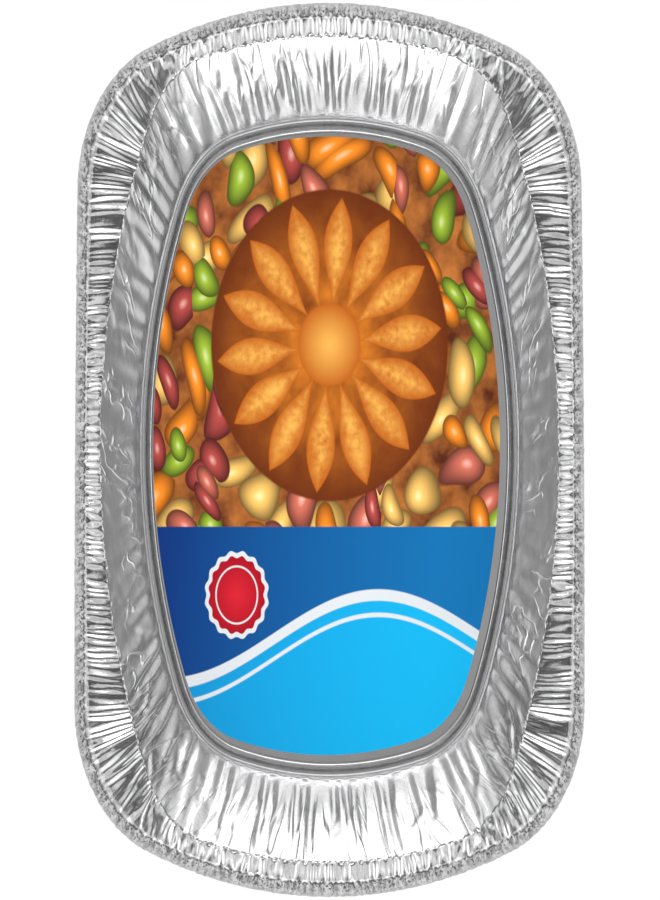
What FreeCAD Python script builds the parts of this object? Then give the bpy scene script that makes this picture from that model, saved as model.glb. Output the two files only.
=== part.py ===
# Oval foil roasting pan with a printed card laid on its floor.
# Frame: +X across the pan, +Y along it, +Z up, origin under the middle of the base. Millimetres.
# The pan is one pressed sheet: a rolled rim, a crimped flange, a fluted wall, a standing groove
# and a raised floor panel. The card is a second piece that lies on the panel.
import FreeCAD, Part
import math
import os

import Sketcher
from FreeCAD import Vector

DRIVING_SIZES = [
    ("pan_length", 406.0, "overall, over the rolled rim"),
    ("pan_width", 318.0, "overall, over the rolled rim"),
    ("pan_height", 82.0, "base to the top of the rolled rim"),
    ("foil_thickness", 0.2, "sheet thickness"),
    ("rim_side_radius", 12000.0, "outline of the rim: nearly straight sides"),
    ("rim_corner_radius", 70.0, "outline of the rim: corners"),
    ("rim_end_radius", 325.0, "outline of the rim: ends"),
    ("curl_radius", 3.0, "outside radius of the rolled edge"),
    ("curl_gap", 0.3, "from the roll to where the flange starts"),
    ("flange_start_drop", 3.4, "top of the rim down to the start of the flange"),
    ("side_flange", 15.5, "rim edge to the wall, at the sides"),
    ("end_flange", 15.0, "rim edge to the wall, at the ends"),
    ("flange_drop", 5.4, "top of the rim down to the wall's shoulder"),
    ("shoulder_side_radius", 380.0, "outline of the shoulder: sides"),
    ("shoulder_corner_radius", 50.0, "outline of the shoulder: corners"),
    ("shoulder_end_radius", 330.0, "outline of the shoulder: ends"),
    ("side_draft", 25.1, "how far the side wall leans in, in plan"),
    ("end_draft", 37.3, "how far the end wall leans in, in plan"),
    ("foot_side_radius", 290.0, "outline of the wall's foot: sides"),
    ("foot_corner_radius", 55.0, "outline of the wall's foot: corners"),
    ("foot_end_radius", 240.0, "outline of the wall's foot: ends"),
    ("foot_height", 5.0, "height at which the wall turns into the groove"),
    ("groove_run", 2.6, "foot to the flat of the groove, in plan"),
    ("groove_flat", 2.4, "width of the flat that the pan stands on"),
    ("panel_run", 2.4, "flat of the groove to the floor panel, in plan"),
    ("panel_height", 2.4, "underside of the floor panel above the base"),
    ("crimp_depth", 0.9, "peak to valley of the crimps in the flange"),
    ("flute_depth", 2.2, "peak to valley of the flutes in the wall, at the corners"),
    ("side_flute_share", 0.35, "depth of the flutes at the middle of the sides, as a share"),
    ("columns", 96.0, "facets round the smooth stretches of the sheet"),
    ("crimps_per_column", 3.0, "crimps in the flange for each of those facets"),
    ("card_thickness", 0.35, "printed card"),
    ("card_gap", 2.25, "edge of the floor panel to the edge of a centred card"),
    ("card_shift_x", -1.9, "the card lies a little to the left"),
    ("card_shift_y", 0.8, "and a little towards the far end"),
]

doc = FreeCAD.newDocument("foil_roasting_pan")
sheet = doc.addObject("Spreadsheet::Sheet", "Sizes")
for row, (alias, value, note) in enumerate(DRIVING_SIZES, start=1):
    sheet.set(f"A{row}", alias)
    sheet.set(f"B{row}", str(value))
    sheet.set(f"C{row}", note)
    sheet.setAlias(f"B{row}", alias)
doc.recompute()


def size(alias):
    """A driving size read back from the sheet."""
    return float(sheet.get(alias))


class Outline:
    """A plan outline of eight tangent arcs, alike in all four quarters: sides, corners and ends."""

    def __init__(self, half_width, half_length, side_radius, corner_radius, end_radius):
        self.half_width = half_width
        self.half_length = half_length
        self.side_radius = side_radius
        self.corner_radius = corner_radius
        self.end_radius = end_radius
        self.side_centre = half_width - side_radius
        self.end_centre = half_length - end_radius
        self.corner_centre = self.find_corner_centre()
        corner_x, corner_y = self.corner_centre
        self.side_angle = math.atan2(corner_y, corner_x - self.side_centre)
        self.end_angle = math.atan2(corner_y - self.end_centre, corner_x)
        self.side_length = self.side_angle * side_radius
        self.corner_length = (self.end_angle - self.side_angle) * corner_radius
        self.end_length = (math.pi / 2 - self.end_angle) * end_radius

    def find_corner_centre(self):
        """The corner arc touches the side arc and the end arc from inside."""
        to_side = self.side_radius - self.corner_radius
        to_end = self.end_radius - self.corner_radius
        span = math.hypot(self.side_centre, self.end_centre)
        along = (span**2 + to_side**2 - to_end**2) / (2 * span)
        across = math.sqrt(to_side**2 - along**2)
        towards_end = (-self.side_centre / span, self.end_centre / span)
        return (
            self.side_centre + along * towards_end[0] - across * towards_end[1],
            along * towards_end[1] + across * towards_end[0],
        )

    def inset(self, distance):
        """The parallel outline, distance further in."""
        return Outline(
            self.half_width - distance,
            self.half_length - distance,
            self.side_radius - distance,
            self.corner_radius - distance,
            self.end_radius - distance,
        )

    def quarter_point(self, share):
        """(x, y) and outward normal at that share of the first quarter's length."""
        run = share * (self.side_length + self.corner_length + self.end_length)
        if run <= self.side_length:
            angle = run / self.side_radius
            centre_x, centre_y, radius = self.side_centre, 0.0, self.side_radius
        elif run <= self.side_length + self.corner_length:
            angle = self.side_angle + (run - self.side_length) / self.corner_radius
            centre_x, centre_y = self.corner_centre
            radius = self.corner_radius
        else:
            run -= self.side_length + self.corner_length
            angle = self.end_angle + run / self.end_radius
            centre_x, centre_y, radius = 0.0, self.end_centre, self.end_radius
        normal_x, normal_y = math.cos(angle), math.sin(angle)
        return centre_x + radius * normal_x, centre_y + radius * normal_y, normal_x, normal_y

    def at(self, turn):
        """(x, y) and outward normal at that share of a full turn, anticlockwise from +X."""
        quarter, share = divmod((turn % 1.0) * 4, 1.0)
        mirrored = int(quarter) % 2 == 1
        x, y, normal_x, normal_y = self.quarter_point(1 - share if mirrored else share)
        sign_x = -1 if quarter in (1, 2) else 1
        sign_y = -1 if quarter in (2, 3) else 1
        return sign_x * x, sign_y * y, sign_x * normal_x, sign_y * normal_y


def rim_outline():
    """Outer edge of the rolled rim."""
    return Outline(
        size("pan_width") / 2,
        size("pan_length") / 2,
        size("rim_side_radius"),
        size("rim_corner_radius"),
        size("rim_end_radius"),
    )


def shoulder_outline():
    """Where the flange turns down into the wall: rounder than the rim, so the flange is widest at the corners."""
    return Outline(
        size("pan_width") / 2 - size("side_flange"),
        size("pan_length") / 2 - size("end_flange"),
        size("shoulder_side_radius"),
        size("shoulder_corner_radius"),
        size("shoulder_end_radius"),
    )


def foot_outline():
    """Foot of the wall, where it turns into the groove."""
    shoulder = shoulder_outline()
    return Outline(
        shoulder.half_width - size("side_draft"),
        shoulder.half_length - size("end_draft"),
        size("foot_side_radius"),
        size("foot_corner_radius"),
        size("foot_end_radius"),
    )


def panel_outline():
    """Edge of the raised floor panel."""
    return foot_outline().inset(size("groove_run") + size("groove_flat") + size("panel_run"))


# The sheet's middle surface is a list of stations from the rolled edge down to the floor panel.
# Each station is a ring: a plan place, a height, how many facets go round it and how it is creased.
class Station:
    def __init__(self, place, height, split, crease=None, depth=0.0):
        self.place = place
        self.height = height
        self.split = split
        self.crease = crease
        self.depth = depth

    def point(self, turn):
        x, y = self.place(turn)
        return Vector(x, y, self.height)


def on(outline):
    """Places points on an outline."""
    return lambda turn: outline.at(turn)[:2]


def between(outer, inner, share):
    """Places points on the straight line from one outline to another."""

    def place(turn):
        outer_x, outer_y = outer.at(turn)[:2]
        inner_x, inner_y = inner.at(turn)[:2]
        return outer_x + share * (inner_x - outer_x), outer_y + share * (inner_y - outer_y)

    return place


def curl_stations():
    """The rolled edge: three quarters of a turn, from the tucked-under edge over the top."""
    step = math.radians(45)
    middle_radius = size("curl_radius") - size("foil_thickness") / 2 / math.cos(step / 2)
    axis_height = size("pan_height") - size("curl_radius")
    rim = rim_outline()
    stations = []
    for turn in range(6, 0, -1):
        angle = turn * step
        inward = size("curl_radius") + middle_radius * math.cos(angle)
        height = axis_height + middle_radius * math.sin(angle)
        stations.append(Station(on(rim.inset(inward)), height, 1))
    return stations


def wall_stations():
    """Crimped flange and fluted wall."""
    top = size("pan_height")
    crimped = int(2 * size("crimps_per_column"))
    rim, shoulder, foot = rim_outline(), shoulder_outline(), foot_outline()
    start = rim.inset(2 * size("curl_radius") + size("curl_gap"))
    shoulder_height = top - size("flange_drop")
    fall = shoulder_height - size("foot_height")
    flute = size("flute_depth")
    stations = [
        Station(on(start), top - size("flange_start_drop"), crimped, "crimp", size("crimp_depth") / 2),
        Station(on(shoulder), shoulder_height, crimped, "crimp", size("crimp_depth")),
    ]
    # share of the way down in plan, share of the way down in height, share of the full flute depth
    for run, drop, deep in ((0.09, 0.07, 0.9), (0.45, 0.42, 1.0), (0.86, 0.84, 0.6)):
        place = between(shoulder, foot, run)
        stations.append(Station(place, shoulder_height - drop * fall, 2, "flute", deep * flute))
    return stations


def base_stations():
    """Foot, standing groove and edge of the floor panel."""
    foot = foot_outline()
    half_sheet = size("foil_thickness") / 2
    run, flat = size("groove_run"), size("groove_flat")
    panel = panel_outline()
    return [
        Station(on(foot), size("foot_height"), 1),
        Station(on(foot.inset(0.45 * run)), half_sheet + 0.25 * size("foot_height"), 1),
        Station(on(foot.inset(run)), half_sheet, 1),
        Station(on(foot.inset(run + flat)), half_sheet, 1),
        Station(on(panel), half_sheet + size("panel_height"), 1),
    ]


def depth_share(turn):
    """How deep the flutes are there: shallow at the middle of the sides, full at the corners and ends."""
    lengthwise = abs(math.sin(2 * math.pi * turn)) ** 1.5
    shallow = size("side_flute_share")
    unevenness = 0.8 + 0.2 * math.sin(37 * 2 * math.pi * turn)
    return (shallow + (1 - shallow) * lengthwise) * unevenness


def sheet_normal(stations, index, turn):
    """Unit normal of the middle surface at a station, towards the food, and the offset of each skin."""
    here = stations[index].point(turn)
    step = 1e-4
    tangent = stations[index].point(turn + step) - stations[index].point(turn - step)
    slopes = []
    if index:
        slopes.append(tangent.cross(here - stations[index - 1].point(turn)).normalize())
    if index + 1 < len(stations):
        slopes.append(tangent.cross(stations[index + 1].point(turn) - here).normalize())
    else:
        slopes.append(Vector(0, 0, 1))
    middle = (slopes[0] + slopes[-1]).normalize()
    return middle, size("foil_thickness") / 2 / middle.dot(slopes[0])


def rings(stations):
    """For each station, the points of the upper and the lower skin."""
    columns = int(size("columns"))
    upper, lower = [], []
    for index, station in enumerate(stations):
        count = columns * station.split
        over, under = [], []
        for i in range(count):
            turn = i / count
            normal, half = sheet_normal(stations, index, turn)
            middle = station.point(turn)
            if station.crease:
                side = 1 if i % 2 else -1
                share = depth_share(turn) if station.crease == "flute" else 1.0
                middle = middle + normal * (side * share * station.depth / 2)
            over.append(middle + normal * half)
            under.append(middle - normal * half)
        upper.append(over)
        lower.append(under)
    return upper, lower


def facet(*corners):
    return Part.Face(Part.makePolygon([*corners, corners[0]]))


def strip(outer, inner):
    """Triangles between two neighbouring rings, one of which may have several times the other's points."""
    if len(outer) > len(inner):
        return strip(inner, outer)
    ratio = len(inner) // len(outer)
    middle = (ratio + 1) // 2
    faces = []
    for i, here in enumerate(outer):
        following = outer[(i + 1) % len(outer)]
        fan = [inner[(i * ratio + k) % len(inner)] for k in range(ratio + 1)]
        faces += [facet(here, a, b) for a, b in zip(fan[:middle], fan[1 : middle + 1])]
        faces.append(facet(here, fan[middle], following))
        faces += [facet(following, a, b) for a, b in zip(fan[middle:], fan[middle + 1 :])]
    return faces


def skin(skin_rings):
    """One side of the sheet: strips from the rolled edge to the floor panel, and the panel itself."""
    faces = []
    for outer, inner in zip(skin_rings, skin_rings[1:]):
        faces += strip(outer, inner)
    faces.append(facet(*skin_rings[-1]))
    return faces


def pan_solid():
    stations = curl_stations() + wall_stations() + base_stations()
    upper, lower = rings(stations)
    faces = skin(upper) + skin(lower) + strip(upper[0], lower[0])
    shell = Part.Compound(faces)
    shell.sewShape(1e-5)
    if len(shell.Shells) != 1 or not shell.Shells[0].isClosed():
        raise RuntimeError("the pressed sheet is not one closed shell")
    solid = Part.Solid(shell.Shells[0])
    if solid.Volume < 0:
        solid.reverse()
    return solid


def make_pan():
    pan = doc.addObject("Part::Feature", "foil_pan")
    pan.Label = "foil_pan"
    pan.Shape = pan_solid()
    pan.Placement = FreeCAD.Placement()
    return pan


def oval_sketch(sketch, outline):
    """Draws an outline as eight tangent arcs, anticlockwise from the right side, and ties them together."""
    corner_x, corner_y = outline.corner_centre
    side, end = outline.side_angle, outline.end_angle
    half = math.pi
    arcs = [
        (outline.side_centre, 0, outline.side_radius, -side, side),
        (corner_x, corner_y, outline.corner_radius, side, end),
        (0, outline.end_centre, outline.end_radius, end, half - end),
        (-corner_x, corner_y, outline.corner_radius, half - end, half - side),
        (-outline.side_centre, 0, outline.side_radius, half - side, half + side),
        (-corner_x, -corner_y, outline.corner_radius, half + side, half + end),
        (0, -outline.end_centre, outline.end_radius, half + end, 2 * half - end),
        (corner_x, -corner_y, outline.corner_radius, 2 * half - end, 2 * half - side),
    ]
    for x, y, radius, start, stop in arcs:
        circle = Part.Circle(Vector(x, y, 0), Vector(0, 0, 1), radius)
        sketch.addGeometry(Part.ArcOfCircle(circle, start, stop), False)
    start_point, end_point, centre_point = 1, 2, 3
    x_axis, y_axis = -1, -2
    right, top, left, bottom, corners = 0, 2, 4, 6, (1, 3, 5, 7)
    for arc in range(8):
        neighbour = (arc + 1) % 8
        sketch.addConstraint(Sketcher.Constraint("Tangent", arc, end_point, neighbour, start_point))
    for arc, axis in ((right, x_axis), (left, x_axis), (top, y_axis), (bottom, y_axis)):
        sketch.addConstraint(Sketcher.Constraint("PointOnObject", arc, centre_point, axis))
    sketch.addConstraint(Sketcher.Constraint("Equal", right, left))
    sketch.addConstraint(Sketcher.Constraint("Equal", top, bottom))
    for corner in corners[1:]:
        sketch.addConstraint(Sketcher.Constraint("Equal", corners[0], corner))
    named = [
        ("side_radius", Sketcher.Constraint("Radius", right, outline.side_radius)),
        ("corner_radius", Sketcher.Constraint("Radius", corners[0], outline.corner_radius)),
        ("end_radius", Sketcher.Constraint("Radius", top, outline.end_radius)),
        ("right_centre", Sketcher.Constraint("DistanceX", right, centre_point, outline.side_centre)),
        ("left_centre", Sketcher.Constraint("DistanceX", left, centre_point, -outline.side_centre)),
        ("top_centre", Sketcher.Constraint("DistanceY", top, centre_point, outline.end_centre)),
        ("bottom_centre", Sketcher.Constraint("DistanceY", bottom, centre_point, -outline.end_centre)),
    ]
    for name, constraint in named:
        sketch.renameConstraint(sketch.addConstraint(constraint), name)


def make_card():
    """Printed card: the floor panel's outline drawn in all round, laid on the panel."""
    body = doc.addObject("PartDesign::Body", "label_card")
    body.Label = "label_card"
    sketch = body.newObject("Sketcher::SketchObject", "card_outline")
    xy_plane = next(f for f in body.Origin.OriginFeatures if f.Role == "XY_Plane")
    sketch.AttachmentSupport = [(xy_plane, "")]
    sketch.MapMode = "FlatFace"
    oval_sketch(sketch, panel_outline().inset(size("card_gap")))

    drawn_in = (
        "(Sizes.groove_run + Sizes.groove_flat + Sizes.panel_run + Sizes.card_gap)"
    )
    half_width = f"(Sizes.pan_width / 2 - Sizes.side_flange - Sizes.side_draft - {drawn_in})"
    half_length = f"(Sizes.pan_length / 2 - Sizes.end_flange - Sizes.end_draft - {drawn_in})"
    side_radius = f"(Sizes.foot_side_radius - {drawn_in})"
    end_radius = f"(Sizes.foot_end_radius - {drawn_in})"
    sketch.setExpression("Constraints.side_radius", side_radius)
    sketch.setExpression("Constraints.corner_radius", f"Sizes.foot_corner_radius - {drawn_in}")
    sketch.setExpression("Constraints.end_radius", end_radius)
    sketch.setExpression("Constraints.right_centre", f"{half_width} - {side_radius}")
    sketch.setExpression("Constraints.left_centre", f"{side_radius} - {half_width}")
    sketch.setExpression("Constraints.top_centre", f"{half_length} - {end_radius}")
    sketch.setExpression("Constraints.bottom_centre", f"{end_radius} - {half_length}")

    pad = body.newObject("PartDesign::Pad", "card_pad")
    pad.Profile = sketch
    pad.setExpression("Length", "Sizes.card_thickness")
    body.setExpression(".Placement.Base.x", "Sizes.card_shift_x")
    body.setExpression(".Placement.Base.y", "Sizes.card_shift_y")
    body.setExpression(".Placement.Base.z", "Sizes.panel_height + Sizes.foil_thickness")
    return body


pieces = [make_pan(), make_card()]
doc.recompute()

for item in doc.Objects:
    bad = [state for state in item.State if state in ("Invalid", "Error")]
    if bad:
        raise RuntimeError(f"{item.Label} did not build: {bad}")
for piece in pieces:
    if piece.Shape.isNull() or not piece.Shape.isValid() or not piece.Shape.Solids:
        raise RuntimeError(f"{piece.Label} is not a valid solid")

os.makedirs("parts", exist_ok=True)
for piece in pieces:
    piece.Shape.exportStep(f"parts/{piece.Label}.step")
    box = piece.Shape.BoundBox
    print(
        piece.Label,
        f"{box.XLength:.3f} x {box.YLength:.3f} x {box.ZLength:.3f} mm, z from {box.ZMin:.4f},",
        f"{piece.Shape.Volume:.0f} mm3, {len(piece.Shape.Faces)} faces",
    )
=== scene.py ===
# Foil roasting pan with a printed card on its floor, seen from straight above.
import bpy
import math
import numpy as np
from mathutils import Matrix


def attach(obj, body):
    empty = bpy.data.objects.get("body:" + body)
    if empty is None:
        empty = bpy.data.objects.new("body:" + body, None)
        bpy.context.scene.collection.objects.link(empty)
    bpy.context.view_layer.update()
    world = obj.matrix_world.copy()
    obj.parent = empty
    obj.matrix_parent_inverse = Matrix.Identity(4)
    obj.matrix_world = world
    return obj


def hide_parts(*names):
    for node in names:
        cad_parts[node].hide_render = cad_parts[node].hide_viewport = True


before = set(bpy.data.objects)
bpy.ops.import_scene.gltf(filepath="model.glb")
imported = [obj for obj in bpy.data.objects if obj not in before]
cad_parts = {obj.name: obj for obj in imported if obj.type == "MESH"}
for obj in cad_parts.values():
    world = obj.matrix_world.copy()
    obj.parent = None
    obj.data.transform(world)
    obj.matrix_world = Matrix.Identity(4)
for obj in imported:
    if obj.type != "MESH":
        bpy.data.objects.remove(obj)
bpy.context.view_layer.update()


# the camera looks straight down, and its picture is squeezed sideways as the photograph is
cameraSetup = {
    "height": 19.0,
    "acrossImage": 0.4123,    # metres of the pan's rim plane across the picture
    "squeeze": 0.727,         # how much narrower the picture shows things than they are
    "aimX": 0.0003,
    "aimY": -0.0029,
    "imageWidth": 660,
    "imageHeight": 900,
    "rimHeight": 0.082,
    "sensor": 36,
    "clip": (1, 100),
}


def addCamera():
    # a square view narrowed to 660 x 900: the camera's up axis is leaned out of square with its others,
    # which makes the picture show as much along the pan as across it
    aspect = cameraSetup["imageWidth"] / cameraSetup["imageHeight"]
    halfAcross = cameraSetup["acrossImage"] / 2 / (cameraSetup["height"] - cameraSetup["rimHeight"])
    data = bpy.data.cameras.new("mainCamera")
    data.sensor_width = cameraSetup["sensor"]
    data.lens = data.sensor_width / 2 * aspect / halfAcross
    data.clip_start, data.clip_end = cameraSetup["clip"]
    cam = bpy.data.objects.new("mainCamera", data)
    bpy.context.collection.objects.link(cam)
    cam.location = (cameraSetup["aimX"], cameraSetup["aimY"], cameraSetup["height"])
    holder = bpy.data.objects.new("cameraHolder", None)
    bpy.context.collection.objects.link(holder)
    lean = math.acos(cameraSetup["squeeze"])
    cam.parent = holder
    cam.matrix_parent_inverse = Matrix(
        ((1, 0, 0, 0), (0, math.cos(lean), 0, 0), (0, math.sin(lean), 1, 0), (0, 0, 0, 1))
    )
    bpy.context.scene.camera = cam


addCamera()
print("camera placed")


# the pan's plan lines, in millimetres, are ovals of eight tangent arcs
def makeOutline(halfWidth, halfLength, sideRadius, cornerRadius, endRadius):
    sideCentre, endCentre = halfWidth - sideRadius, halfLength - endRadius
    toSide, toEnd = sideRadius - cornerRadius, endRadius - cornerRadius
    span = math.hypot(sideCentre, endCentre)
    along = (span**2 + toSide**2 - toEnd**2) / (2 * span)
    across = math.sqrt(toSide**2 - along**2)
    stepX, stepY = -sideCentre / span, endCentre / span
    cornerX = sideCentre + along * stepX - across * stepY
    cornerY = along * stepY + across * stepX
    sideAngle = math.atan2(cornerY, cornerX - sideCentre)
    endAngle = math.atan2(cornerY - endCentre, cornerX)
    return {
        "sizes": (halfWidth, halfLength, sideRadius, cornerRadius, endRadius),
        "centres": (sideCentre, cornerX, cornerY, endCentre),
        "angles": (sideAngle, endAngle),
    }


def insetOutline(outline, distance):
    return makeOutline(*[size - distance for size in outline["sizes"]])


def outlineAt(outline, turn):
    # x and y at each share of a turn, anticlockwise from +X, evenly spaced along each quarter
    halfWidth, halfLength, sideRadius, cornerRadius, endRadius = outline["sizes"]
    sideCentre, cornerX, cornerY, endCentre = outline["centres"]
    sideAngle, endAngle = outline["angles"]
    sideRun = sideAngle * sideRadius
    cornerRun = (endAngle - sideAngle) * cornerRadius
    endRun = (math.pi / 2 - endAngle) * endRadius
    quarter = np.floor(np.mod(turn, 1.0) * 4)
    share = np.mod(turn, 1.0) * 4 - quarter
    share = np.where(np.mod(quarter, 2) == 1, 1 - share, share)
    run = share * (sideRun + cornerRun + endRun)
    onSide = run <= sideRun
    onEnd = run > sideRun + cornerRun
    angle = np.where(
        onSide,
        run / sideRadius,
        np.where(
            onEnd,
            endAngle + (run - sideRun - cornerRun) / endRadius,
            sideAngle + (run - sideRun) / cornerRadius,
        ),
    )
    centreX = np.where(onSide, sideCentre, np.where(onEnd, 0.0, cornerX))
    centreY = np.where(onSide, 0.0, np.where(onEnd, endCentre, cornerY))
    radius = np.where(onSide, sideRadius, np.where(onEnd, endRadius, cornerRadius))
    x = centreX + radius * np.cos(angle)
    y = centreY + radius * np.sin(angle)
    x = np.where((quarter == 1) | (quarter == 2), -x, x)
    y = np.where(quarter >= 2, -y, y)
    return x, y


panShape = {
    "rim": makeOutline(159, 203, 12000, 70, 325),
    "shoulder": makeOutline(143.5, 188, 380, 50, 330),
    "foot": makeOutline(118.4, 150.7, 290, 55, 240),
    "rimTop": 82.0,
    "curlRadius": 3.0,
    "curlTurn": 270,        # degrees that the edge is rolled round
    "rootInset": 6.1,       # rim edge to the valley between roll and flange
    "rootHeight": 77.9,
    "flangeCrown": 1.2,     # how far the flange stands up beside the roll
    "shoulderHeight": 76.6,
    "shortSway": 0.26,      # how far the shoulder line strays on the corners, in short and in long waves
    "longSway": 0.3,
    "wallSag": 0.02,        # how far the wall's middle hangs, as a share of its height
    "footHeight": 5.1,
    "sheet": 0.2,
    # inset from the foot and height, across the foot's step, the groove and the panel's edge
    "baseLine": [(0, 5.1), (0.45, 4.9), (0.8, 2.9), (1.2, 0.4), (1.45, 0.12), (1.8, 0.1), (5.2, 0.1),
                 (5.5, 0.3), (6.2, 2.25), (6.5, 2.5), (7.4, 2.5)],
    "patchInset": 14.0,     # where the one face of the floor panel begins
}
baseWidth = panShape["baseLine"][-1][0]

blankSetup = {
    "columns": 672,         # doubled in the roll and the flange
    "crowding": 0.08,       # how much closer they stand at the ends than at the sides
    "curlRows": 6,
    "flangeRows": 6,
    "shoulderRows": [1.98, 2.0, 2.005],
    "wallRows": 32,
}


def blend(a, b, share):
    return a + (b - a) * share


def ease(share):
    share = np.clip(share, 0, 1)
    return share * share * (3 - 2 * share)


def sheetPlace(turn, row):
    # the smooth sheet: row 0 to 1 is the roll, to 2 the flange, to 3 the wall, to 4 the base, to 5 the panel
    p = panShape
    rimX, rimY = outlineAt(p["rim"], turn)
    middleX, middleY = outlineAt(insetOutline(p["rim"], p["curlRadius"]), turn)
    outX, outY = (rimX - middleX) / p["curlRadius"], (rimY - middleY) / p["curlRadius"]
    shoulderX, shoulderY = outlineAt(p["shoulder"], turn)
    sway = shoulderSway(turn)
    shoulderX, shoulderY = shoulderX + outX * sway, shoulderY + outY * sway
    footX, footY = outlineAt(p["foot"], turn)
    innerX, innerY = outlineAt(insetOutline(p["foot"], baseWidth), turn)
    panelX, panelY = outlineAt(insetOutline(p["foot"], p["patchInset"]), turn)

    roll = np.radians(p["curlTurn"] - p["curlTurn"] * np.clip(row, 0, 1))
    radius = p["curlRadius"] - p["sheet"] / 2
    x = middleX - outX * radius * np.cos(roll)
    y = middleY - outY * radius * np.cos(roll)
    z = p["rimTop"] - p["curlRadius"] + radius * np.sin(roll)

    share = np.clip(row - 1, 0, 1)
    rootX, rootY = rimX - outX * p["rootInset"], rimY - outY * p["rootInset"]
    lift = p["flangeCrown"] * ease(share * 6) - p["flangeCrown"] * share
    flangeZ = blend(p["rootHeight"], p["shoulderHeight"] + sway, share) + lift
    inFlange = row > 1
    x = np.where(inFlange, blend(rootX, shoulderX, share), x)
    y = np.where(inFlange, blend(rootY, shoulderY, share), y)
    z = np.where(inFlange, flangeZ, z)

    share = np.clip(row - 2, 0, 1)
    inWall = row > 2
    x = np.where(inWall, blend(shoulderX, footX, share), x)
    y = np.where(inWall, blend(shoulderY, footY, share), y)
    fall = share + p["wallSag"] * np.sin(math.pi * share)
    z = np.where(inWall, blend(p["shoulderHeight"] + sway, p["footHeight"], fall), z)

    share = np.clip(row - 3, 0, 1)
    inBase = row > 3
    insets = [k[0] / baseWidth for k in p["baseLine"]]
    heights = [k[1] for k in p["baseLine"]]
    x = np.where(inBase, blend(footX, innerX, share), x)
    y = np.where(inBase, blend(footY, innerY, share), y)
    z = np.where(inBase, np.interp(share, insets, heights), z)

    share = np.clip(row - 4, 0, 1)
    inPanel = row > 4
    x = np.where(inPanel, blend(innerX, panelX, share), x)
    y = np.where(inPanel, blend(innerY, panelY, share), y)
    return np.stack([x, y, z], axis=-1)


def sheetNormal(turn, row):
    # from short steps round the pan and down the sheet
    across = sheetPlace(turn + 2e-4, row) - sheetPlace(turn - 2e-4, row)
    down = sheetPlace(turn, row + 0.01) - sheetPlace(turn, row - 0.01)
    normal = np.cross(across, down)
    return normal / np.maximum(np.linalg.norm(normal, axis=-1, keepdims=True), 1e-9)


# crimps, folds and dents are laid out by millimetres along the shoulder line
seeded = np.random.default_rng(23)
lineTurns = np.linspace(0, 1, 8001)
lineX, lineY = outlineAt(panShape["shoulder"], lineTurns)
lineRun = np.concatenate([[0], np.cumsum(np.hypot(np.diff(lineX), np.diff(lineY)))])
lineLength = lineRun[-1]


def endness(turn):
    # 1 at the two ends, 0 at the two sides
    return np.abs(np.sin(2 * math.pi * turn)) ** 1.5


def cornerness(turn):
    # 1 on the four corners
    quarter = np.mod(turn * 4, 1.0)
    quarter = np.where(np.mod(np.floor(turn * 4), 2) == 1, 1 - quarter, quarter)
    return np.exp(-(((quarter - 0.60) / 0.17) ** 2))


def wander(run, waves, longest, seed):
    # a smooth random line round the pan, about -1 to 1, of waves no longer than the given millimetres
    rng = np.random.default_rng(seed)
    first = max(1, int(lineLength / longest))
    total = np.zeros_like(run)
    for k in range(waves):
        times = first + rng.integers(0, first * 3 + 2)
        total += np.sin(2 * math.pi * times * run / lineLength + rng.uniform(0, 6.28))
    return total / math.sqrt(waves)


def shoulderSway(turn):
    # the shoulder line strays a little out and in on the corners, and takes flange and wall with it
    run = np.interp(np.mod(turn, 1.0), lineTurns, lineRun)
    short, long = wander(run, 6, 9, 29), wander(run, 5, 26, 31)
    return cornerness(turn) * (panShape["shortSway"] * short + panShape["longSway"] * long)


crimpSetup = {
    "sidePitch": 5.0,
    "cornerPitch": 7.4,
    "endPitch": 4.8,
    "unevenPitch": 0.45,
    "sideDepth": 1.5,
    "cornerDepth": 2.2,
    "endDepth": 1.6,
    "unevenDepth": 0.35,
    "roundness": 0.35,      # 0 for sharp ridges, 1 for round ones
    "fineDepth": 0.4,       # of the fine crimps beside the roll, to the wide ones
    "cornerFineDepth": 0.25,
    "lean": 1.6,            # how far they lean across the flange, by these shares on straights and corners
    "straightLean": 0.1,
    "cornerLean": 2.5,
    "wriggle": 0.6,
    "curl": 0.3,
    "lateLean": 2.4,        # of the crimps by the shoulder, to the others
    "shoulderFade": 0.35,
    "calmShare": 0.6,       # how far the smooth places in the corners' flange take them down
    "calmPatches": [(0.347, 0.009), (0.363, 0.006), (0.153, 0.009), (0.138, 0.006)],
}


def layCrimps(setup, rng):
    # uneven crimps that fill the whole line: where each starts, how wide and deep it is, where it peaks
    starts, widths = [], []
    run = 0.0
    while run < lineLength:
        turn = np.interp(run, lineRun, lineTurns)
        pitch = blend(setup["sidePitch"], setup["endPitch"], float(endness(turn)))
        pitch = blend(pitch, setup["cornerPitch"], float(cornerness(turn)))
        pitch *= rng.uniform(1 - setup["unevenPitch"], 1 + setup["unevenPitch"])
        starts.append(run)
        widths.append(pitch)
        run += pitch
    stretch = lineLength / run
    starts = np.array(starts) * stretch
    depths = rng.uniform(1 - setup["unevenDepth"], 1 + setup["unevenDepth"], len(starts))
    peaks = rng.uniform(0.25, 0.75, len(starts))
    return {"starts": starts, "widths": np.array(widths) * stretch, "depths": depths, "peaks": peaks}


def crimpHeight(crimps, run):
    # 0 in the valley between two crimps, up to the crimp's own depth at its peak
    run = np.mod(run, lineLength)
    index = np.clip(np.searchsorted(crimps["starts"], run, side="right") - 1, 0, len(crimps["starts"]) - 1)
    place = (run - crimps["starts"][index]) / crimps["widths"][index]
    peak = crimps["peaks"][index]
    rise = np.where(place < peak, place / peak, (1 - place) / (1 - peak))
    rise = np.clip(rise, 0, 1)
    return blend(rise, np.sin(rise * math.pi / 2) ** 1.2, crimpSetup["roundness"]) * crimps["depths"][index]


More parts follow.
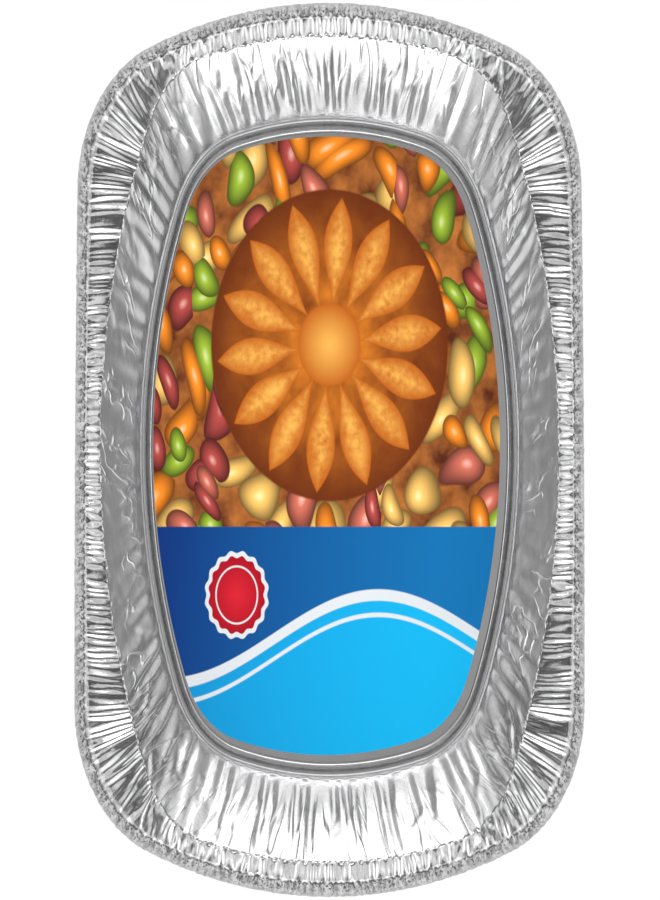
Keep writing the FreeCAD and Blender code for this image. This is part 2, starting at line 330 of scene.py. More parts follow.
outerCrimps = layCrimps(crimpSetup, seeded)
innerCrimps = layCrimps({**crimpSetup, "sidePitch": 3.0, "endPitch": 2.9, "cornerPitch": 3.8}, seeded)
shoulderCrimps = layCrimps({**crimpSetup, "sidePitch": 4.4, "endPitch": 4.6, "cornerPitch": 8.0}, seeded)


def squareTurn(turn, row):
    # the turn that a column reaches at each row: it crosses the flange square to the roll, and swings back
    # down the wall
    rimX, rimY = outlineAt(panShape["rim"], lineTurns)
    aheadX, aheadY = np.gradient(rimX), np.gradient(rimY)
    step = np.hypot(aheadX, aheadY)
    ahead = ((lineX - rimX) * aheadX + (lineY - rimY) * aheadY) / step / step.sum()
    share = np.where(row < 2, np.clip(row - 1, 0, 1), 1 - ease((row - 2) / 0.9))
    return turn - share * np.interp(turn, lineTurns, ahead)


def flangeFolds(turn, run, row):
    c = crimpSetup
    corner = cornerness(turn)
    share = np.clip(row - 1, 0, 1)
    depth = blend(blend(c["sideDepth"], c["endDepth"], endness(turn)), c["cornerDepth"], corner)
    calm = np.ones_like(turn)
    for centre, reach in c["calmPatches"]:
        calm *= 1 - c["calmShare"] * np.exp(-(((turn - centre) / reach) ** 4)) * ease((share - 0.25) * 3)
    lean = c["lean"] * wander(run, 5, 60, 3) * (share - 0.5)
    lean *= c["straightLean"] + c["cornerLean"] * corner
    lean += c["wriggle"] * wander(run, 6, 28, 5) * (share - 0.5)
    lean += c["curl"] * wander(run, 6, 25, 6) * np.sin(7 * share)
    wide = crimpHeight(outerCrimps, run + lean)
    fine = crimpHeight(innerCrimps, run - lean) * blend(c["fineDepth"], c["cornerFineDepth"], corner)
    late = crimpHeight(shoulderCrimps, run + c["lateLean"] * lean) * (0.55 + 0.4 * corner)
    # fine crimps show beside the roll, and others take over towards the shoulder
    nearRoll = 1 - ease(share * 2.2)
    nearShoulder = ease(share * 1.5 - 0.2) * (0.25 + 0.6 * corner)
    height = wide * (1 - 0.35 * nearRoll) * (1 - nearShoulder) + late * nearShoulder
    height = depth * (height + fine * nearRoll - 0.5)
    grow = np.where(row < 1, ease((row - 0.86) / 0.14), 1.0)
    fade = 1 - c["shoulderFade"] * ease((share - 0.75) * 4)
    return height * grow * fade * calm * (row < 2.0001)     # none below the shoulder


wallFoldSetup = {
    "endFolds": 64,          # per end
    "cornerFolds": 10,       # per corner
    "sideFolds": 22,         # per side
    "endSpan": 0.27,         # share of a turn that they cover
    "cornerSpan": 0.12,
    "sideSpan": 0.23,
    "cornerTurns": (0.15, 0.35, 0.65, 0.85),
    "outwardShare": 0.28,    # of the folds, the others go inwards
    "endLong": 0.55,         # share of them that run far down, or on the sides from the very top
    "cornerLong": 0.6,
    "sideFromTop": 0.65,
    "endDrift": 3.0,         # how far they stray from straight down, at random
    "cornerDrift": 8,
    "sideDrift": (1, 12),
    "endDepth": 0.6,
    "cornerDepth": 1.15,
    "sideDepth": 1.0,
    "flutes": 96,            # round the whole wall
    "fluteDepth": 1.1,
    "fluteSwells": 37,       # how often they get deeper and shallower again, round the pan
    # share of the way down the wall, and share of the flutes' full depth there
    "fluteProfile": ((0.0, 0.09, 0.45, 0.7, 0.86, 1.0), (0.2, 0.35, 0.75, 1.0, 0.8, 0.0)),
    "shoulderBead": 0.05,
}


def layWallFolds(setup, rng):
    # each fold: start along the line, drift, where it starts and stops down the wall, width, depth, wriggle
    folds = []

    def spread(middle, k, count, span):
        # a place by chance in the k-th of equal stretches
        return middle + (k + rng.uniform(0, 1) - count / 2) / count * span

    for middle in (0.25, 0.75):
        for k in range(setup["endFolds"]):
            turn = spread(middle, k, setup["endFolds"], setup["endSpan"])
            long = rng.random() < setup["endLong"]
            stop = rng.uniform(0.75, 1.0) if long else rng.uniform(0.45, 0.7)
            depth = setup["endDepth"] * rng.uniform(0.45, 1.1) * (1 if long else 0.75)
            folds.append((turn, rng.normal(0, setup["endDrift"]), rng.uniform(-0.05, 0.35), stop,
                          rng.uniform(1.2, 2.1), depth, rng.uniform(0.2, 1.0)))
    for corner in setup["cornerTurns"]:
        for k in range(setup["cornerFolds"]):
            turn = spread(corner, k, setup["cornerFolds"], setup["cornerSpan"])
            long = rng.random() < setup["cornerLong"]
            start = -0.05 if long else rng.uniform(0, 0.45)
            stop = start + (rng.uniform(0.6, 1.0) if long else rng.uniform(0.2, 0.4))
            folds.append((turn, rng.normal(0, setup["cornerDrift"]), start, min(1.0, stop),
                          rng.uniform(2.0, 3.8), setup["cornerDepth"] * rng.uniform(0.45, 1.0),
                          rng.uniform(0.8, 2.2)))
    for middle, way in ((0.0, -1), (0.5, 1)):
        for k in range(setup["sideFolds"]):
            turn = spread(middle, k, setup["sideFolds"], setup["sideSpan"])
            start = -0.05 if rng.random() < setup["sideFromTop"] else rng.uniform(0.1, 0.5)
            folds.append((turn, way * rng.uniform(*setup["sideDrift"]), start,
                          start + rng.uniform(0.15, 0.55), rng.uniform(1.5, 2.8),
                          setup["sideDepth"] * rng.uniform(0.4, 1.0), rng.uniform(0.6, 1.6)))
    return folds


wallFolds = layWallFolds(wallFoldSetup, seeded)


def wallFoldHeight(run, row):
    down = row - 2
    height = np.zeros_like(run)
    onWall = (down > -0.02) & (down < 1.0)
    if not onWall.any():
        return height
    t, r = down[onWall], run[onWall]
    total = np.zeros_like(t)
    for foldTurn, drift, start, stop, width, depth, wriggle in wallFolds:
        foldRun = np.interp(foldTurn % 1.0, lineTurns, lineRun)
        along = np.clip((t - start) / max(stop - start, 0.05), 0, 1)
        centre = foldRun + drift * along**1.4 + wriggle * np.sin(along * 7 + foldTurn * 90)
        away = np.abs(np.mod(r - centre + lineLength / 2, lineLength) - lineLength / 2)
        reach = width * (0.75 + 0.9 * along)
        ridge = np.clip(1 - away / reach, 0, 1)
        ends = ease((t - start) / 0.08) * (1 - ease((along - 0.6) / 0.4))
        ends *= 1 - 0.5 * endness(foldTurn) * (1 - ease(t / 0.45))
        way = -1 if foldTurn * 40 % 1 < wallFoldSetup["outwardShare"] else 1
        total += depth * ridge**1.25 * ends * way
    fade = 1 - ease((t - 0.93) / 0.07)
    height[onWall] = total * fade
    return height


def wallPillows(turn, run, row):
    # the wall's flutes, deepest low on the end walls, and soft dents between them
    down = np.clip(row - 2, 0, 1)
    setup = wallFoldSetup
    deep = np.interp(down, *setup["fluteProfile"]) * blend(0.35, 1.0, endness(turn))
    deep *= 0.8 + 0.2 * np.sin(setup["fluteSwells"] * 2 * math.pi * turn)
    lean = 0.25 * wander(run + 14 * down, 4, 90, 11)
    flutes = -setup["fluteDepth"] * deep * np.cos(2 * math.pi * (setup["flutes"] * turn + lean))
    soft = wander(run + 10 * down, 9, 30, 13) * ease(down / 0.1) * (1 - ease((down - 0.8) / 0.15))
    soft *= blend(0.12, 0.22, endness(turn))
    bead = setup["shoulderBead"] * np.exp(-(((row - 2) / 0.01) ** 2)) * (0.6 + 0.4 * wander(run, 6, 12, 17))
    return (flutes + soft) * (row > 2) + bead * (1 - 0.6 * endness(turn)) * (1 - 0.95 * cornerness(turn))


rollSetup = {
    "dentWaves": 46,
    "dentTimes": (40, 330),     # how often a wave repeats round the pan
    "dentTwist": 16,
    "dentDepth": 0.14,
    "beadDepth": 0.45,
    "beadRow": 0.97,
    "beadReach": 0.1,
}


def rollDents(run, row):
    # the roll's mottled skin, and the row of small beads along its inner edge
    r = rollSetup
    rng = np.random.default_rng(41)
    height = np.zeros_like(run)
    for k in range(r["dentWaves"]):
        times = rng.integers(*r["dentTimes"])
        twist = row * rng.uniform(-r["dentTwist"], r["dentTwist"])
        height += np.sin(2 * math.pi * times * run / lineLength + twist + rng.uniform(0, 6.28))
    height *= r["dentDepth"] / math.sqrt(r["dentWaves"])
    inRoll = ease(row / 0.15) * (1 - ease((row - 0.9) / 0.15))
    bead = crimpHeight(innerCrimps, run) - 0.5
    atRoot = np.exp(-(((row - r["beadRow"]) / r["beadReach"]) ** 2))
    return height * inRoll + r["beadDepth"] * bead * atRoot


def makeBlank():
    # a flat blank, laid out as turn by row, with twice the columns where the crimps are fine
    b = blankSetup
    rows = np.concatenate([
        np.linspace(0, 1, b["curlRows"] + 1)[:-1],
        1 + np.linspace(0, 1, b["flangeRows"] + 1)[:-1] ** 1.1,
        b["shoulderRows"],
        2 + np.linspace(0, 1, b["wallRows"] + 1)[1:-1],
        3 + np.array([k[0] / baseWidth for k in panShape["baseLine"]]),
        [5],
    ])
    bpy.ops.object.select_all(action="DESELECT")
    bpy.ops.mesh.primitive_grid_add(x_subdivisions=b["columns"], y_subdivisions=len(rows) - 1, size=1)
    blank = bpy.context.object
    blank.name = blank.data.name = "pressedFoil"
    places = np.empty(len(blank.data.vertices) * 3)
    blank.data.vertices.foreach_get("co", places)
    places = places.reshape(-1, 3)
    even = np.round((places[:, 0] + 0.5) * b["columns"]) / b["columns"]
    places[:, 0] = even + b["crowding"] * np.sin(4 * math.pi * even) / 4 / math.pi
    places[:, 1] = rows[np.round((places[:, 1] + 0.5) * (len(rows) - 1)).astype(int)]
    blank.data.vertices.foreach_set("co", places.ravel())

    bpy.ops.object.mode_set(mode="EDIT")
    bpy.ops.mesh.select_mode(type="EDGE")
    bpy.ops.mesh.select_all(action="DESELECT")
    bpy.ops.object.mode_set(mode="OBJECT")
    for edge in blank.data.edges:
        a, c = (blank.data.vertices[i].co for i in edge.vertices)
        edge.select = a.y == c.y and a.y < 2.001     # those that run round roll and flange
    bpy.ops.object.mode_set(mode="EDIT")
    bpy.ops.mesh.subdivide(number_cuts=1, ngon=False)
    bpy.ops.object.mode_set(mode="OBJECT")
    return blank


def pressBlank(blank):
    mesh = blank.data
    places = np.empty(len(mesh.vertices) * 3)
    mesh.vertices.foreach_get("co", places)
    turn, row = places[0::3].copy(), places[1::3].copy()
    turn[turn > 0.99999] = 0.0     # the last column lies on the first
    run = np.interp(turn, lineTurns, lineRun)
    lift = flangeFolds(turn, run, row) + rollDents(run, row)
    reached = np.mod(squareTurn(turn, row), 1.0)
    run = np.interp(reached, lineTurns, lineRun)
    lift += wallFoldHeight(run, row) + wallPillows(reached, run, row)
    placed = sheetPlace(reached, row) + sheetNormal(reached, row) * lift[:, None]
    mesh.vertices.foreach_set("co", (placed / 1000).ravel())
    # the place on the sheet, for marks that follow it: round the pan, and down from the roll
    onSheet = mesh.attributes.new("onSheet", "FLOAT_VECTOR", "POINT")
    around = lineLength / 2 / math.pi / 1000
    angle = 2 * math.pi * turn
    values = np.stack([around * np.cos(angle), around * np.sin(angle), row], axis=-1)
    onSheet.data.foreach_set("vector", values.ravel())
    mesh.update()


def makePan():
    pan = makeBlank()
    pressBlank(pan)
    bpy.ops.object.mode_set(mode="EDIT")
    bpy.ops.mesh.select_mode(type="VERT")
    bpy.ops.mesh.select_all(action="SELECT")
    bpy.ops.mesh.remove_doubles(threshold=1e-6)
    bpy.ops.mesh.select_all(action="DESELECT")
    bpy.ops.object.mode_set(mode="OBJECT")
    for vertex, place in zip(pan.data.vertices, pan.data.attributes["onSheet"].data):
        vertex.select = place.vector.z > 4.99     # the innermost row
    bpy.ops.object.mode_set(mode="EDIT")
    bpy.ops.mesh.edge_face_add()     # the floor panel
    bpy.ops.mesh.select_all(action="SELECT")
    bpy.ops.mesh.normals_make_consistent(inside=False)
    bpy.ops.object.mode_set(mode="OBJECT")
    bpy.ops.object.shade_smooth()
    wall = pan.modifiers.new("sheet", "SOLIDIFY")
    wall.thickness = panShape["sheet"] / 1000
    wall.offset = 0
    bpy.ops.object.modifier_apply(modifier=wall.name)
    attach(pan, "root")
    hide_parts("foil_pan")
    return pan


foilPan = makePan()
foilPan.data.calc_loop_triangles()
print("foil pressed,", len(foilPan.data.loop_triangles), "triangles")


def addNode(tree, kind, inputs=None, **settings):
    node = tree.nodes.new(kind)
    for name, value in settings.items():
        setattr(node, name, value)
    for name, value in (inputs or {}).items():
        if isinstance(value, bpy.types.NodeSocket):
            tree.links.new(value, node.inputs[name])
        else:
            node.inputs[name].default_value = value
    return node


def setSocket(tree, socket, value):
    if isinstance(value, bpy.types.NodeSocket):
        tree.links.new(value, socket)
    else:
        socket.default_value = value


def mixColour(tree, share, first, second, how="MIX"):
    node = addNode(tree, "ShaderNodeMix", data_type="RGBA", blend_type=how)
    for socket, value in ((node.inputs[0], share), (node.inputs[6], first), (node.inputs[7], second)):
        setSocket(tree, socket, value)
    return node.outputs[2]


def nodeTools(tree):
    # short calls for the nodes that one tree has many of
    def calc(how, a, b=0.0, c=0.0):
        return addNode(tree, "ShaderNodeMath", {0: a, 1: b, 2: c}, operation=how).outputs[0]

    def ramp(value, low, high, start=0.0, end=1.0, how="LINEAR"):
        # start where the value is low, end where it is high
        return addNode(tree, "ShaderNodeMapRange", {"Value": value, "From Min": low, "From Max": high,
                       "To Min": start, "To Max": end}, interpolation_type=how).outputs[0]

    def noise(place, scale, detail, roughness=0.5, distortion=0.0):
        return addNode(tree, "ShaderNodeTexNoise", {"Vector": place, "Scale": scale, "Detail": detail,
                       "Roughness": roughness, "Distortion": distortion}).outputs["Fac"]

    def along(how, a, b, c=(0, 0, 0)):
        # the same sum on each of three numbers
        return addNode(tree, "ShaderNodeVectorMath", {0: a, 1: b, 2: c}, operation=how).outputs[0]

    return calc, ramp, noise, along


def newGroup(name, inputs, outputs):
    group = bpy.data.node_groups.new(name, "ShaderNodeTree")
    for way, sockets in (("INPUT", inputs), ("OUTPUT", outputs)):
        for socketName, kind in sockets.items():
            group.interface.new_socket(socketName, in_out=way, socket_type="NodeSocket" + kind)
    return group, group.nodes.new("NodeGroupInput").outputs, group.nodes.new("NodeGroupOutput").inputs


def newMaterial(name):
    material = bpy.data.materials.new(name)
    material.use_nodes = True
    tree = material.node_tree
    return material, tree, tree.nodes["Principled BSDF"]


def dress(piece, material):
    piece.data.materials.clear()
    piece.data.materials.append(material)


def makeCrumple():
    # fine unevenness of thin metal: a height, and a mask of larger patches
    group, given, wanted = newGroup(
        "crumple", {"Place": "Vector", "Size": "Float"}, {"Height": "Float", "Mask": "Float"}
    )
    calc, _, noise, _ = nodeTools(group)
    setSocket(group, wanted["Height"], noise(given["Place"], given["Size"], 3.0))
    larger = calc("MULTIPLY", given["Size"], 0.22)
    setSocket(group, wanted["Mask"], noise(given["Place"], larger, 2.0))
    return group


crumple = makeCrumple()

foilFinish = {
    "colour": (0.88, 0.88, 0.885, 1),
    "shadeColour": (0.83, 0.83, 0.84, 1),
    "wallRoughness": (0.10, 0.18),
    "endRoughness": 0.07,       # added on the end walls
    "crumpleSize": 420.0,
    "crumpleHeight": 0.00010,
    "drawnOut": (1, 1, 0.006),  # makes a pattern run down the sheet as streaks
    "streakSize": 520.0,        # they run down the sheet, as the die leaves them
    "streakHeight": 0.00012,
    # the roll with its painted shade, and the painted shade on the shoulder, by row: 0 to 1 is the roll, 2
    # the shoulder, 3 the foot
    "rollFade": (1.12, 0.98),
    # painted shade: the roll's dark and pale greys stand in for the light and shade on its dented metal
    "rollShadeColours": ((0.20, 0.20, 0.20, 1), (0.58, 0.58, 0.58, 1)),
    "rollShadeRange": (0.37, 0.63),
    "rollEdge": (0.46, 0.46, 0.46, 1),
    "rollInner": (0.4, 0.75),
    "rollMetal": 0.12,
    "rollSheen": 0.2,
    "rollRoughness": 0.45,
    # painted shade: dark specks for the shade in the roll's small dents
    "speckSize": 900.0,
    "speckRange": (0.56, 0.62),
    "speckShadeColour": (0.08, 0.08, 0.08, 1),
    # painted shade: a broken dark line in the valley at the roll's root
    "rootBand": (0.04, 0.11),
    "rootBreaks": (0.58, 0.5),
    "rootShadeColour": (0.05, 0.05, 0.05, 1),
    # painted shade along the shoulder's edge, broken here and there
    "shoulderShadeBand": (0.006, 0.03),
    "shoulderShadeBreaks": (0.58, 0.46),
    "shoulderShadeColour": (0.32, 0.32, 0.32, 1),
    "creaseHeight": 0.00042,
    "creaseScale": 120.0,
    "creaseDraw": (0.026, 0.010),   # how fast they change down the side and end walls, to 1 round the pan
    "creaseStarts": (-0.02, 0.04),  # by share of the way down the wall
    "creaseStops": (0.5, 0.9),
    "creaseWidth": 0.07,
    "creaseSlant": 0.55,
    "sideCreases": 0.95,
    "endCreases": 0.7,
    "fewCreases": (0.49, 0.57),     # narrower and higher leaves fewer on the side walls
    # where the end walls' finish begins and is full, by metres along the pan from its middle
    "endSoftFrom": (0.11, 0.16),
    "endDrawFrom": (0.1, 0.15),
    "endCreasesFrom": (0.115, 0.15),
}


def makeFoilMaterial():
    f = foilFinish
    material, tree, skin = newMaterial("foilSkin")
    calc, ramp, noise, along = nodeTools(tree)
    place = addNode(tree, "ShaderNodeTexCoord").outputs["Object"]
    onSheet = addNode(tree, "ShaderNodeAttribute", attribute_name="onSheet").outputs["Vector"]
    parts = addNode(tree, "ShaderNodeSeparateXYZ", {"Vector": onSheet})
    row = parts.outputs["Z"]
    fromMiddle = calc("ABSOLUTE", parts.outputs["Y"])
    drawn = along("MULTIPLY", onSheet, f["drawnOut"])
    fine = addNode(tree, "ShaderNodeGroup", {"Place": place, "Size": f["crumpleSize"]}, node_tree=crumple)
    streaks = addNode(tree, "ShaderNodeGroup", {"Place": drawn, "Size": f["streakSize"]}, node_tree=crumple)
    tone = mixColour(tree, fine.outputs["Mask"], f["shadeColour"], f["colour"])

    # the roll, with painted shade: dull grey streaks across it that stand in for the light and shade on its
    # dented metal, dark specks for the shade in its small dents, and a broken dark line for the shade in the
    # valley at its root
    inRoll = ramp(row, *f["rollFade"])
    mottle = noise(drawn, f["streakSize"], 2.0)
    rollPaintedTone = mixColour(tree, ramp(mottle, *f["rollShadeRange"]), *f["rollShadeColours"])
    inner = ramp(row, *f["rollInner"], 0.25, 1.0)
    rollPaintedTone = mixColour(tree, inner, f["rollEdge"], rollPaintedTone)
    # painted shade in the roll's small dents, as dark specks
    speckShade = ramp(noise(place, f["speckSize"], 1.0), *f["speckRange"])
    rollPaintedTone = mixColour(tree, calc("MULTIPLY", speckShade, inner), rollPaintedTone, f["speckShadeColour"])
    # painted shade in the valley at the roll's root, broken into dashes
    atRoot = ramp(calc("ABSOLUTE", calc("ADD", row, -1.0)), *f["rootBand"], 1.0, 0.0)
    rootShadeDashes = calc("MULTIPLY", atRoot, ramp(mottle, *f["rootBreaks"]))
    rollPaintedTone = mixColour(tree, rootShadeDashes, rollPaintedTone, f["rootShadeColour"])

    # painted shade on the shoulder's edge, broken here and there, which dims its bright line
    down = calc("ADD", row, -2.0)
    atShoulder = ramp(calc("ABSOLUTE", down), *f["shoulderShadeBand"], 1.0, 0.0)
    shoulderShade = calc("MULTIPLY", atShoulder, ramp(mottle, *f["shoulderShadeBreaks"]))
    tone = mixColour(tree, shoulderShade, tone, f["shoulderShadeColour"])
    setSocket(tree, skin.inputs["Base Color"], mixColour(tree, inRoll, tone, rollPaintedTone))
    setSocket(tree, skin.inputs["Metallic"], ramp(inRoll, 0.0, 1.0, 1.0, f["rollMetal"]))
    setSocket(tree, skin.inputs["Specular IOR Level"], f["rollSheen"])
    rough = ramp(fine.outputs["Mask"], 0.3, 0.7, *f["wallRoughness"])
    rough = calc("ADD", rough, ramp(fromMiddle, *f["endSoftFrom"], 0.0, f["endRoughness"]))
    setSocket(tree, skin.inputs["Roughness"], ramp(inRoll, 0.0, 1.0, rough, f["rollRoughness"]))

    # thin creases down the wall, where a drawn-out noise passes its middle value: many on the end walls,
    # and a few on the side walls, which lean towards the near end
    slant = calc("MULTIPLY", calc("MULTIPLY", parts.outputs["X"], f["creaseSlant"]), down)
    leaned = addNode(tree, "ShaderNodeVectorRotate", {"Vector": onSheet, "Angle": slant},
                     rotation_type="Z_AXIS").outputs[0]
    draw = ramp(fromMiddle, *f["endDrawFrom"], *f["creaseDraw"])
    draw = addNode(tree, "ShaderNodeCombineXYZ", {"X": 1.0, "Y": 1.0, "Z": draw}).outputs[0]
    laid = along("MULTIPLY", leaned, draw)
    offMiddle = calc("ABSOLUTE", calc("SUBTRACT", noise(laid, f["creaseScale"], 1.0, 0.35, 0.3), 0.5))
    crease = ramp(offMiddle, 0.0, f["creaseWidth"], 1.0, 0.0, "SMOOTHSTEP")
    few = ramp(noise(laid, f["creaseScale"] * 0.4, 0.0), *f["fewCreases"], 0.0, f["sideCreases"])
    onWall = calc("MULTIPLY", ramp(down, *f["creaseStarts"]), ramp(down, *f["creaseStops"], 1.0, 0.0))
    creased = calc("MULTIPLY", onWall, ramp(fromMiddle, *f["endCreasesFrom"], few, f["endCreases"]))
    # one relief on the other: streaks, fine unevenness and creases
    normal = None
    for height, strength, distance in (
        (streaks.outputs["Height"], 0.5, f["streakHeight"]),
        (fine.outputs["Height"], 0.6, f["crumpleHeight"]),
        (crease, creased, f["creaseHeight"]),
    ):
        bump = addNode(tree, "ShaderNodeBump", {"Height": height, "Strength": strength, "Distance": distance})
        if normal is not None:
            tree.links.new(normal, bump.inputs["Normal"])
        normal = bump.outputs[0]
    tree.links.new(normal, skin.inputs["Normal"])
    return material


dress(foilPan, makeFoilMaterial())
print("foil dressed")


# the printed card: fields of colour with plain shapes
cardShape = {
    "outline": insetOutline(panShape["foot"], 9.65),
    "shift": (-1.9, 0.8),
    "underside": 2.6,
    "thickness": 0.35,
    "points": 256,
    "rings": 14,
    "bow": 0.35,
    "bowReach": (105, 138),     # it lies flat further in
}


def makeCard():
    c = cardShape
    bpy.ops.object.select_all(action="DESELECT")
    bpy.ops.mesh.primitive_circle_add(vertices=c["points"], radius=0.1, fill_type="NGON")
    card = bpy.context.object
    card.name = card.data.name = "printedCard"
    for k, vertex in enumerate(card.data.vertices):
        x, y = outlineAt(c["outline"], np.array(k / c["points"]))
        vertex.co = (float(x) / 1000, float(y) / 1000, 0)
    bpy.ops.object.mode_set(mode="EDIT")
    bpy.ops.mesh.select_all(action="SELECT")
    for k in range(c["rings"]):
        bpy.ops.mesh.inset(thickness=0.0002)
        left = c["rings"] - k
        shrink = (left - 0.9) / left
        bpy.ops.transform.resize(value=(shrink, shrink, 1), center_override=(0, 0, 0))
    bpy.ops.object.mode_set(mode="OBJECT")
    for vertex in card.data.vertices:
        x, y = vertex.co.x * 1000, vertex.co.y * 1000
        lift = 0.5 + 0.3 * math.sin(x / 31 + y / 57 + 1) + 0.2 * math.sin(y / 23 - x / 44)
        edge = min(1.0, math.hypot(x / c["bowReach"][0], y / c["bowReach"][1])) ** 4
        vertex.co.x += c["shift"][0] / 1000
        vertex.co.y += c["shift"][1] / 1000
        vertex.co.z = (c["underside"] + c["bow"] * lift * edge) / 1000
    bpy.ops.object.shade_smooth()
    body = card.modifiers.new("stock", "SOLIDIFY")
    body.thickness = c["thickness"] / 1000
    body.offset = 1
    bpy.ops.object.modifier_apply(modifier=body.name)
    bpy.ops.object.shade_smooth_by_angle(angle=math.radians(40))
    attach(card, "root")
    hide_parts("label_card")
    return card


scatterSetup = {
    "bend": (26, 26, 0),        # how far the rows are bent, in millimetres, and how fast that changes
    "bendScale": 0.02,
    "disorder": 0.75,
    "smallest": 0.36,           # by share of their spacing, and how much larger they get
    "larger": 0.12,
    "softEdge": 0.03,
}


def makeScatter():
    # scattered printed ovals: a mask, a random number for each oval, and a shade that rises to its middle
    group, given, wanted = newGroup(
        "scatteredOvals", {"Place": "Vector", "Turn": "Float", "Spacing": "Vector"},
        {"Mask": "Float", "Kind": "Float", "Shade": "Float"},
    )
    s = scatterSetup
    calc, ramp, _, along = nodeTools(group)
    bend = addNode(group, "ShaderNodeTexNoise",
                   {"Vector": given["Place"], "Scale": s["bendScale"], "Detail": 0.0},
                   noise_dimensions="2D").outputs["Color"]
    bent = along("MULTIPLY_ADD", bend, s["bend"], given["Place"])
    turned = addNode(group, "ShaderNodeVectorRotate", {"Vector": bent, "Angle": given["Turn"]},
                     rotation_type="Z_AXIS").outputs[0]
    cells = addNode(group, "ShaderNodeTexVoronoi",
                    {"Vector": along("DIVIDE", turned, given["Spacing"]), "Scale": 1.0,
                     "Randomness": s["disorder"]},
                    voronoi_dimensions="2D").outputs
    chance = addNode(group, "ShaderNodeSeparateColor", {"Color": cells["Color"]}).outputs
    edge = calc("MULTIPLY_ADD", chance[1], s["larger"], s["smallest"])
    inner = calc("SUBTRACT", edge, s["softEdge"])
    setSocket(group, wanted["Mask"], ramp(cells["Distance"], edge, inner))
    setSocket(group, wanted["Kind"], chance[0])
    setSocket(group, wanted["Shade"], ramp(cells["Distance"], edge, 0.0))
    return group


scatter = makeScatter()

cardPrint = {
    "ground": ((0.12, 0.022, 0.006, 1), (0.62, 0.20, 0.035, 1)),
    "ovals": [(0.90, 0.25, 0.012, 1), (0.42, 0.06, 0.05, 1), (0.30, 0.44, 0.03, 1), (0.86, 0.50, 0.12, 1),
              (0.90, 0.25, 0.012, 1), (0.58, 0.14, 0.09, 1)],
    "ovalLight": (1.65, 0.14),     # what their shade is multiplied by, and what is added
    "lowerLayer": (0.9, (21, 34, 1)),
    "upperLayer": (2.6, (18, 30, 1)),
    "glint": (1.0, 0.93, 0.80, 1),
    "bronze": ((0.17, 0.028, 0.002, 1), (0.74, 0.21, 0.012, 1)),
    "gold": ((0.56, 0.12, 0.004, 1), (1.0, 0.50, 0.09, 1)),
    "flowerCentre": (0, 46),
    "flowerHalfSize": (75, 72),
    "petals": 14,
    "petalWidth": 0.86,
    "petalReach": (0.24, 0.95),     # from the middle of the flower, which is 1 at its half size
    "middleRadius": 0.27,
    "blue": ((0.0, 0.04, 0.24, 1), (0.0, 0.18, 0.48, 1)),
    "cyan": ((0.0, 0.30, 0.68, 1), (0.0, 0.50, 0.92, 1)),
    "pale": (0.78, 0.82, 0.85, 1),
    "red": ((0.45, 0.0, 0.012, 1), (0.74, 0.012, 0.03, 1)),
    "badgeCentre": (-58, -68),
    "badgeRadius": 17.5,
    "edge": (0.80, 0.78, 0.75, 1),
    "fieldLine": -37.0,
    "wave": {"height": 20.0, "along": 0.024, "start": 35.0, "below": 88.0},
    "waveLines": ((0.0, 2.6), (9.0, 1.0)),     # how far down each lies, and half its width
    "badgeLobes": 16.0,
    "badgeRing": 0.74,
    "roughness": (0.30, 0.40),
    "sheen": 0.15,
    # painted reflection: what shiny metal shows of the card is bare foil, bright in the middle and painted
    # darker towards the ends
    "paintedReflectionTones": ((0.82, 0.82, 0.82, 1), (0.31, 0.31, 0.31, 1)),
    "paintedReflectionFade": (80, 125),
    "mirrorRoughness": 0.12,
}


